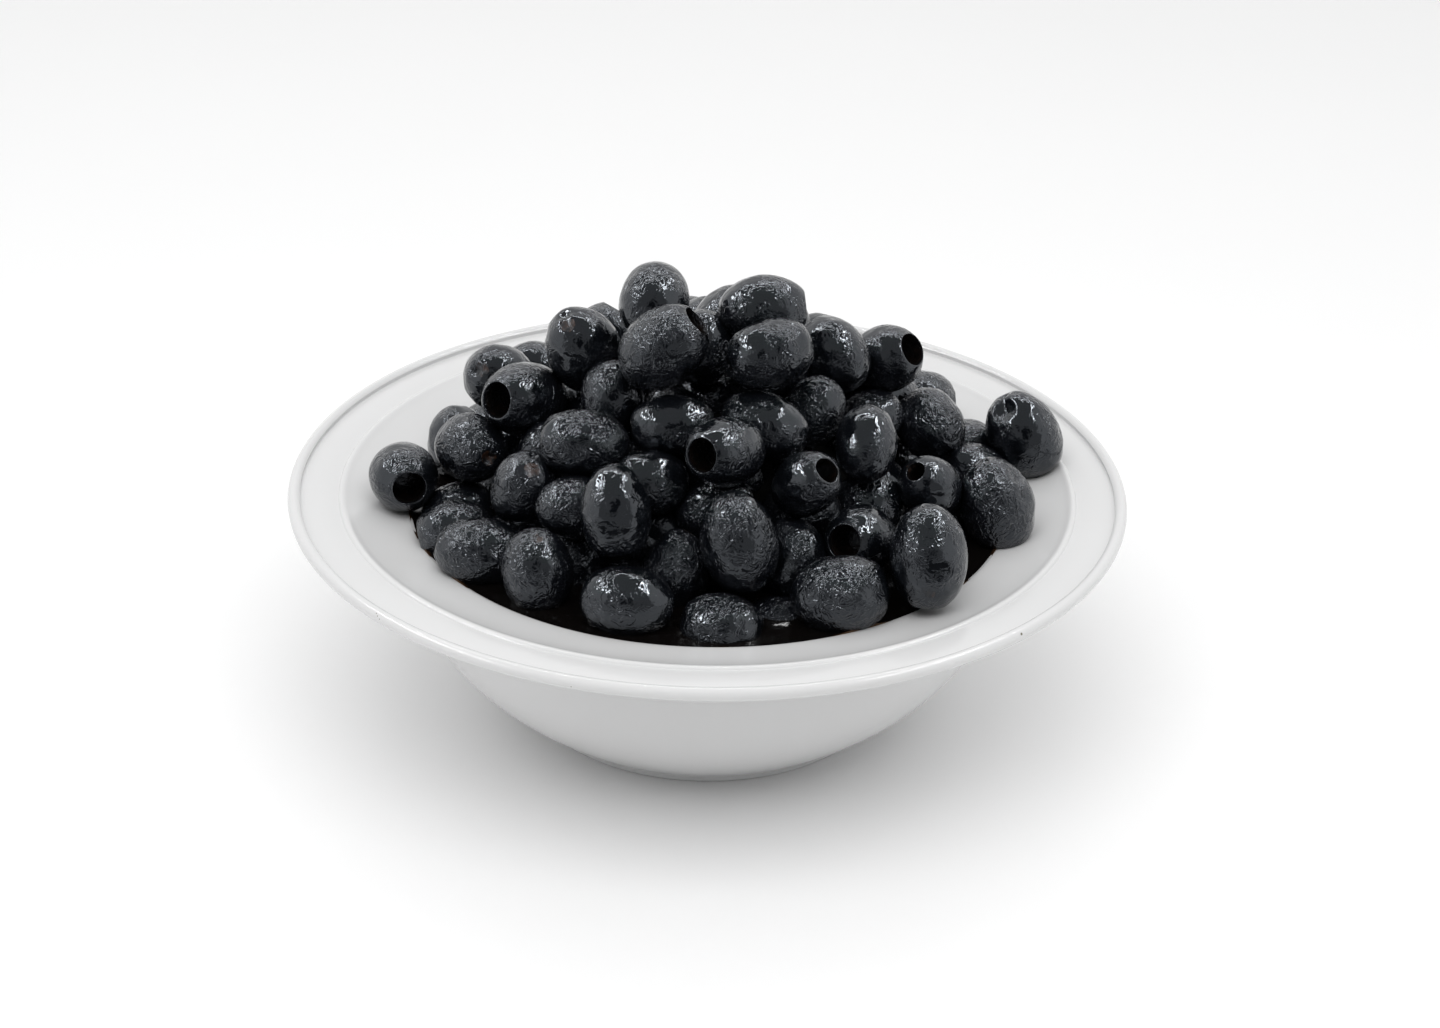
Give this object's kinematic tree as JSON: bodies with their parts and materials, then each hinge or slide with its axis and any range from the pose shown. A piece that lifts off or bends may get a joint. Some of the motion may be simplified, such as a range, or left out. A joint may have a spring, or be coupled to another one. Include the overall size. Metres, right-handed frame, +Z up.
{
  "type": "dish of olives",
  "caption": "Wide-rimmed white footed dish of dark brine, heaped with pitted black table olives that spill onto its rim.",
  "frame": {"origin": "on the table under the middle of the dish, at the bottom of its foot ring", "axes": "+Z up along the dish's middle line; -Y towards the viewer; +X to the viewer's right"},
  "size_m": [0.216, 0.216, 0.1219],
  "materials": {
    "white_glaze": "smooth white gloss glaze",
    "brine": "near-black, mirror-smooth liquid",
    "olive_skin": "wet black skin, partly wrinkled, with crisp highlights"
  },
  "bodies": {
    "root": {"dish": "white_glaze", "brine": "brine", "olives": "olive_skin"}
  },
  "joints": []
}
